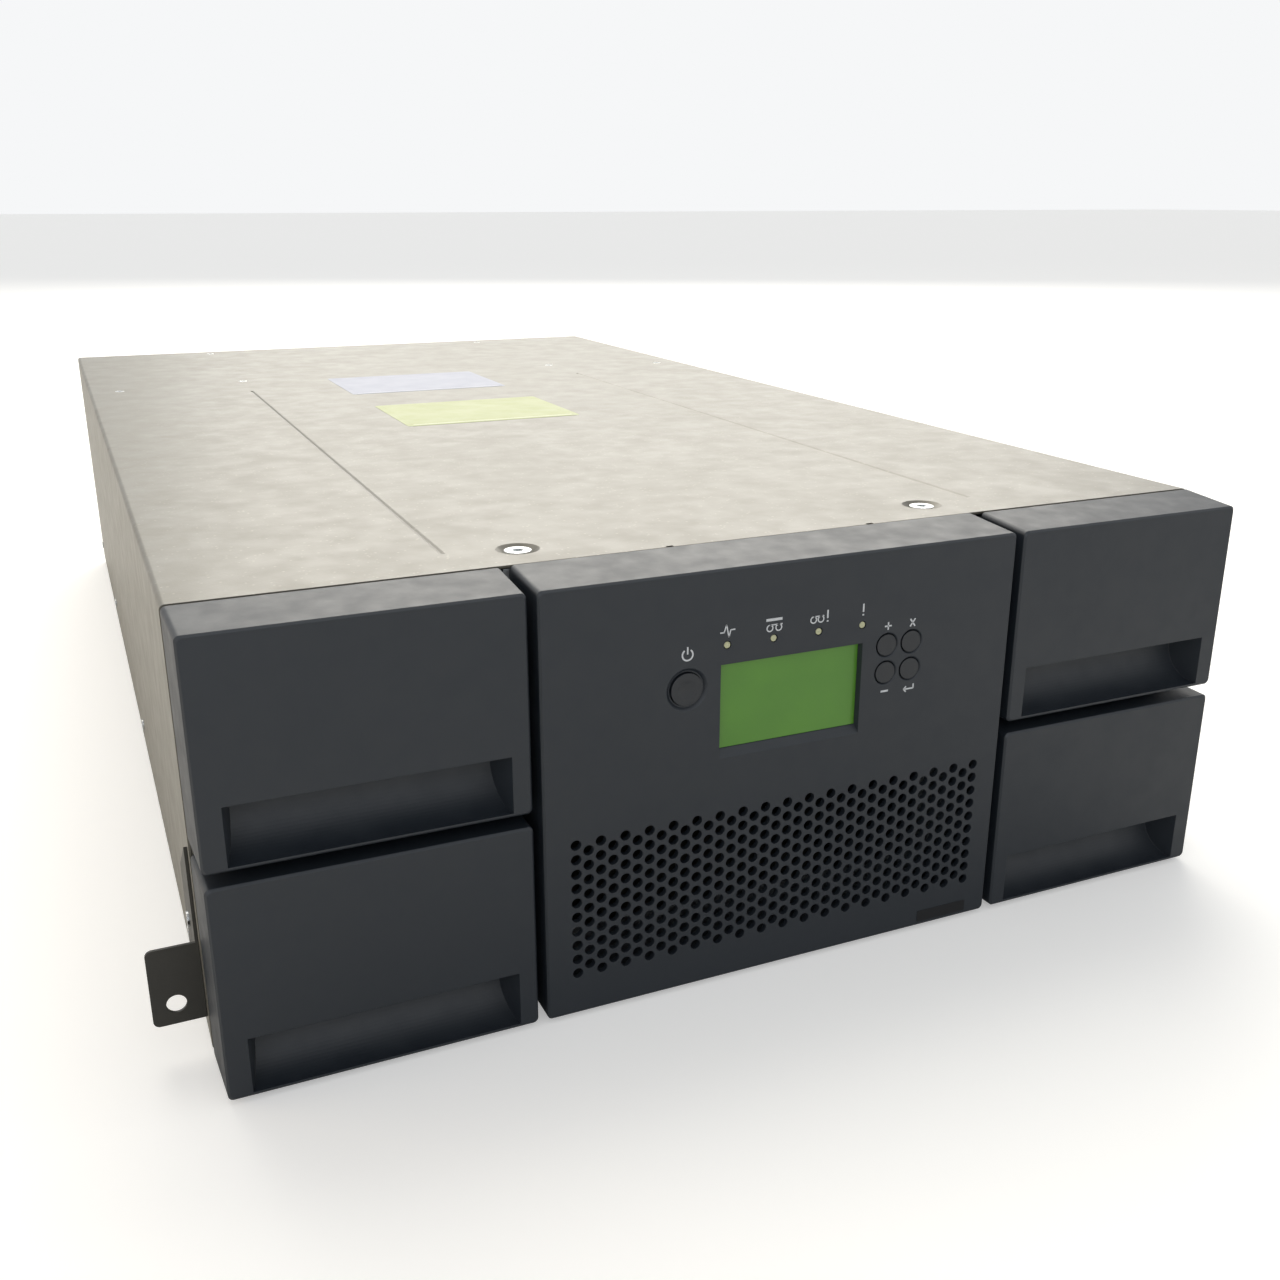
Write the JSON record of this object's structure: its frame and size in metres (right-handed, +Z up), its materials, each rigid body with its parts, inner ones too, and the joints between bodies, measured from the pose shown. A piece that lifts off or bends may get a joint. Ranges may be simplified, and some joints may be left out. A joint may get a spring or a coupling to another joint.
{
  "type": "tape library",
  "caption": "Rack-mount tape cartridge library: sheet-steel case, display panel with grille, pull-out magazines, turning cartridge robot and rear tape drives.",
  "frame": {"origin": "middle of the base plane, half way from the bezel faces to the rear handles", "axes": "+Z up, +Y from the front bezels to the rear panel, +X to the right of someone facing the front"},
  "size_m": [0.4826, 0.8, 0.175],
  "materials": {
    "charcoal_plastic": "fine moulded texture",
    "textured_paint": "fine textured powder coat",
    "ear_paint": "satin powder coat",
    "zinc_sheet": "zinc plated sheet",
    "zinc_screw": "bright zinc plate",
    "machined_steel": "machined",
    "display_glass": "clear over a backlit green display",
    "display_frame": "black frame",
    "circuit_board": "green solder mask",
    "lamp_plastic": "clear light guide",
    "grey_plastic": "moulded",
    "cartridge_plastic": "fine moulded texture",
    "brass_gear": "machined",
    "motor_can": "black",
    "turntable_plastic": "moulded",
    "picker_plastic": "moulded",
    "casing_steel": "bare sheet",
    "fan_plastic": "moulded",
    "inlet_plastic": "moulded"
  },
  "bodies": {
    "chassis": {"chassis_tray": "textured_paint", "rear_panel": "textured_paint", "top_cover": "textured_paint", "housing_screws": "zinc_screw", "front_bezel": "charcoal_plastic", "front_frame": "zinc_sheet", "mid_frame": "zinc_sheet", "lcd_module": "display_frame", "lcd_window": "display_glass", "panel_board": "circuit_board", "status_leds": "lamp_plastic", "rack_ear_left": "ear_paint", "rack_ear_right": "ear_paint", "magazine_bay_left": "zinc_sheet", "magazine_bay_right": "zinc_sheet", "robot_track": "machined_steel", "drive_cage": "zinc_sheet"},
    "magazine_left_lower": {"magazine_tray_left_lower": "grey_plastic", "magazine_bezel_left_lower": "charcoal_plastic", "cartridges_left_lower": "cartridge_plastic"},
    "magazine_left_upper": {"magazine_tray_left_upper": "grey_plastic", "magazine_bezel_left_upper": "charcoal_plastic", "cartridges_left_upper": "cartridge_plastic"},
    "magazine_right_lower": {"magazine_tray_right_lower": "grey_plastic", "magazine_bezel_right_lower": "charcoal_plastic", "cartridges_right_lower": "cartridge_plastic"},
    "magazine_right_upper": {"magazine_tray_right_upper": "grey_plastic", "magazine_bezel_right_upper": "charcoal_plastic", "cartridges_right_upper": "cartridge_plastic"},
    "power_button": {"power_button": "charcoal_plastic"},
    "key_plus": {"key_plus": "charcoal_plastic"},
    "key_cancel": {"key_cancel": "charcoal_plastic"},
    "key_minus": {"key_minus": "charcoal_plastic"},
    "key_enter": {"key_enter": "charcoal_plastic"},
    "carriage": {"carriage": "zinc_sheet", "carriage_motors": "motor_can"},
    "carriage_pinion": {"carriage_pinion": "brass_gear"},
    "turntable": {"turntable": "turntable_plastic", "lift_mast": "machined_steel", "lift_motor": "motor_can"},
    "turntable_pinion": {"turntable_pinion": "brass_gear"},
    "lift_platform": {"lift_platform": "turntable_plastic"},
    "lead_screw": {"lead_screw": "machined_steel"},
    "lift_pinion": {"lift_pinion": "brass_gear"},
    "picker_stage": {"picker_stage": "zinc_sheet"},
    "picker": {"picker": "picker_plastic", "barcode_reader": "picker_plastic"},
    "drive_module_lower": {"drive_sled_lower": "zinc_sheet", "tape_drive_lower": "casing_steel"},
    "drive_door_lower": {"drive_door_lower": "picker_plastic"},
    "drive_fan_lower": {"drive_fan_lower": "fan_plastic"},
    "drive_module_upper": {"drive_sled_upper": "zinc_sheet", "tape_drive_upper": "casing_steel"},
    "drive_door_upper": {"drive_door_upper": "picker_plastic"},
    "drive_fan_upper": {"drive_fan_upper": "fan_plastic"},
    "power_supply": {"power_supply": "zinc_sheet", "power_inlet": "inlet_plastic"},
    "power_supply_fan": {"power_supply_fan": "fan_plastic"},
    "controller": {"controller_tray": "zinc_sheet", "controller_ports": "casing_steel"}
  },
  "joints": [
    {"name": "magazine_left_lower_slide", "type": "slide", "parent": "chassis", "child": "magazine_left_lower", "axis": [0, -1, 0], "range_m": [0, 0.46]},
    {"name": "magazine_left_upper_slide", "type": "slide", "parent": "chassis", "child": "magazine_left_upper", "axis": [0, -1, 0], "range_m": [0, 0.46]},
    {"name": "magazine_right_lower_slide", "type": "slide", "parent": "chassis", "child": "magazine_right_lower", "axis": [0, -1, 0], "range_m": [0, 0.46]},
    {"name": "magazine_right_upper_slide", "type": "slide", "parent": "chassis", "child": "magazine_right_upper", "axis": [0, -1, 0], "range_m": [0, 0.46]},
    {"name": "power_button_press", "type": "slide", "parent": "chassis", "child": "power_button", "axis": [0, 1, 0], "range_m": [0, 0.0012], "stiffness_N_per_m": 400},
    {"name": "key_plus_press", "type": "slide", "parent": "chassis", "child": "key_plus", "axis": [0, 1, 0], "range_m": [0, 0.0012], "stiffness_N_per_m": 400},
    {"name": "key_cancel_press", "type": "slide", "parent": "chassis", "child": "key_cancel", "axis": [0, 1, 0], "range_m": [0, 0.0012], "stiffness_N_per_m": 400},
    {"name": "key_minus_press", "type": "slide", "parent": "chassis", "child": "key_minus", "axis": [0, 1, 0], "range_m": [0, 0.0012], "stiffness_N_per_m": 400},
    {"name": "key_enter_press", "type": "slide", "parent": "chassis", "child": "key_enter", "axis": [0, 1, 0], "range_m": [0, 0.0012], "stiffness_N_per_m": 400},
    {"name": "carriage_travel", "type": "slide", "parent": "chassis", "child": "carriage", "axis": [0, 1, 0], "range_m": [-0.224, 0.112]},
    {"name": "carriage_pinion_spin", "type": "hinge", "parent": "carriage", "child": "carriage_pinion", "pos_m": [0.088, 0.014, 0.003], "axis": [0, 0, 1], "range_deg": [-720, 1430]},
    {"name": "turntable_turn", "type": "hinge", "parent": "carriage", "child": "turntable", "pos_m": [0, -0.054, 0.008], "axis": [0, 0, 1], "range_deg": [-90, 90]},
    {"name": "turntable_pinion_spin", "type": "hinge", "parent": "carriage", "child": "turntable_pinion", "pos_m": [-0.06788, 0.01388, 0.008], "axis": [0, 0, 1], "range_deg": [-391, 391]},
    {"name": "lift_travel", "type": "slide", "parent": "turntable", "child": "lift_platform", "axis": [0, 0, 1], "range_m": [0, 0.13625]},
    {"name": "lead_screw_spin", "type": "hinge", "parent": "turntable", "child": "lead_screw", "pos_m": [0.063, -0.034, 0.08], "axis": [0, 0, 1], "range_deg": [0, 3070]},
    {"name": "lift_pinion_spin", "type": "hinge", "parent": "turntable", "child": "lift_pinion", "pos_m": [0.063, -0.019, 0.161], "axis": [0, 0, 1], "range_deg": [-3070, 0]},
    {"name": "picker_stage_slide", "type": "slide", "parent": "lift_platform", "child": "picker_stage", "axis": [0, 1, 0], "range_m": [0, 0.08025]},
    {"name": "picker_slide", "type": "slide", "parent": "picker_stage", "child": "picker", "axis": [0, 1, 0], "range_m": [0, 0.08025]},
    {"name": "drive_module_lower_slide", "type": "slide", "parent": "chassis", "child": "drive_module_lower", "axis": [0, 1, 0], "range_m": [0, 0.24]},
    {"name": "drive_door_lower_swing", "type": "hinge", "parent": "drive_module_lower", "child": "drive_door_lower", "pos_m": [0, 0.1515, 0.0646], "axis": [1, 0, 0], "range_deg": [0, 85]},
    {"name": "drive_fan_lower_spin", "type": "hinge", "parent": "drive_module_lower", "child": "drive_fan_lower", "pos_m": [-0.045, 0.386, 0.0444], "axis": [0, 1, 0], "continuous": true},
    {"name": "drive_module_upper_slide", "type": "slide", "parent": "chassis", "child": "drive_module_upper", "axis": [0, 1, 0], "range_m": [0, 0.24]},
    {"name": "drive_door_upper_swing", "type": "hinge", "parent": "drive_module_upper", "child": "drive_door_upper", "pos_m": [0, 0.1515, 0.1492], "axis": [1, 0, 0], "range_deg": [0, 85]},
    {"name": "drive_fan_upper_spin", "type": "hinge", "parent": "drive_module_upper", "child": "drive_fan_upper", "pos_m": [-0.045, 0.386, 0.129], "axis": [0, 1, 0], "continuous": true},
    {"name": "power_supply_slide", "type": "slide", "parent": "chassis", "child": "power_supply", "axis": [0, 1, 0], "range_m": [0, 0.2]},
    {"name": "power_supply_fan_spin", "type": "hinge", "parent": "power_supply", "child": "power_supply_fan", "pos_m": [-0.1247, 0.38, 0.0424], "axis": [0, 1, 0], "continuous": true},
    {"name": "controller_slide", "type": "slide", "parent": "chassis", "child": "controller", "axis": [0, 1, 0], "range_m": [0, 0.18]}
  ],
  "couplings": [
    {"joint": "carriage_pinion_spin", "follows": "carriage_travel", "rad_per_m": -111.11},
    {"joint": "turntable_pinion_spin", "follows": "turntable_turn", "ratio": -4.3333},
    {"joint": "lead_screw_spin", "follows": "lift_travel", "rad_per_m": 392.7},
    {"joint": "lift_pinion_spin", "follows": "lift_travel", "rad_per_m": -392.7},
    {"joint": "picker_slide", "follows": "picker_stage_slide", "ratio": 1}
  ]
}
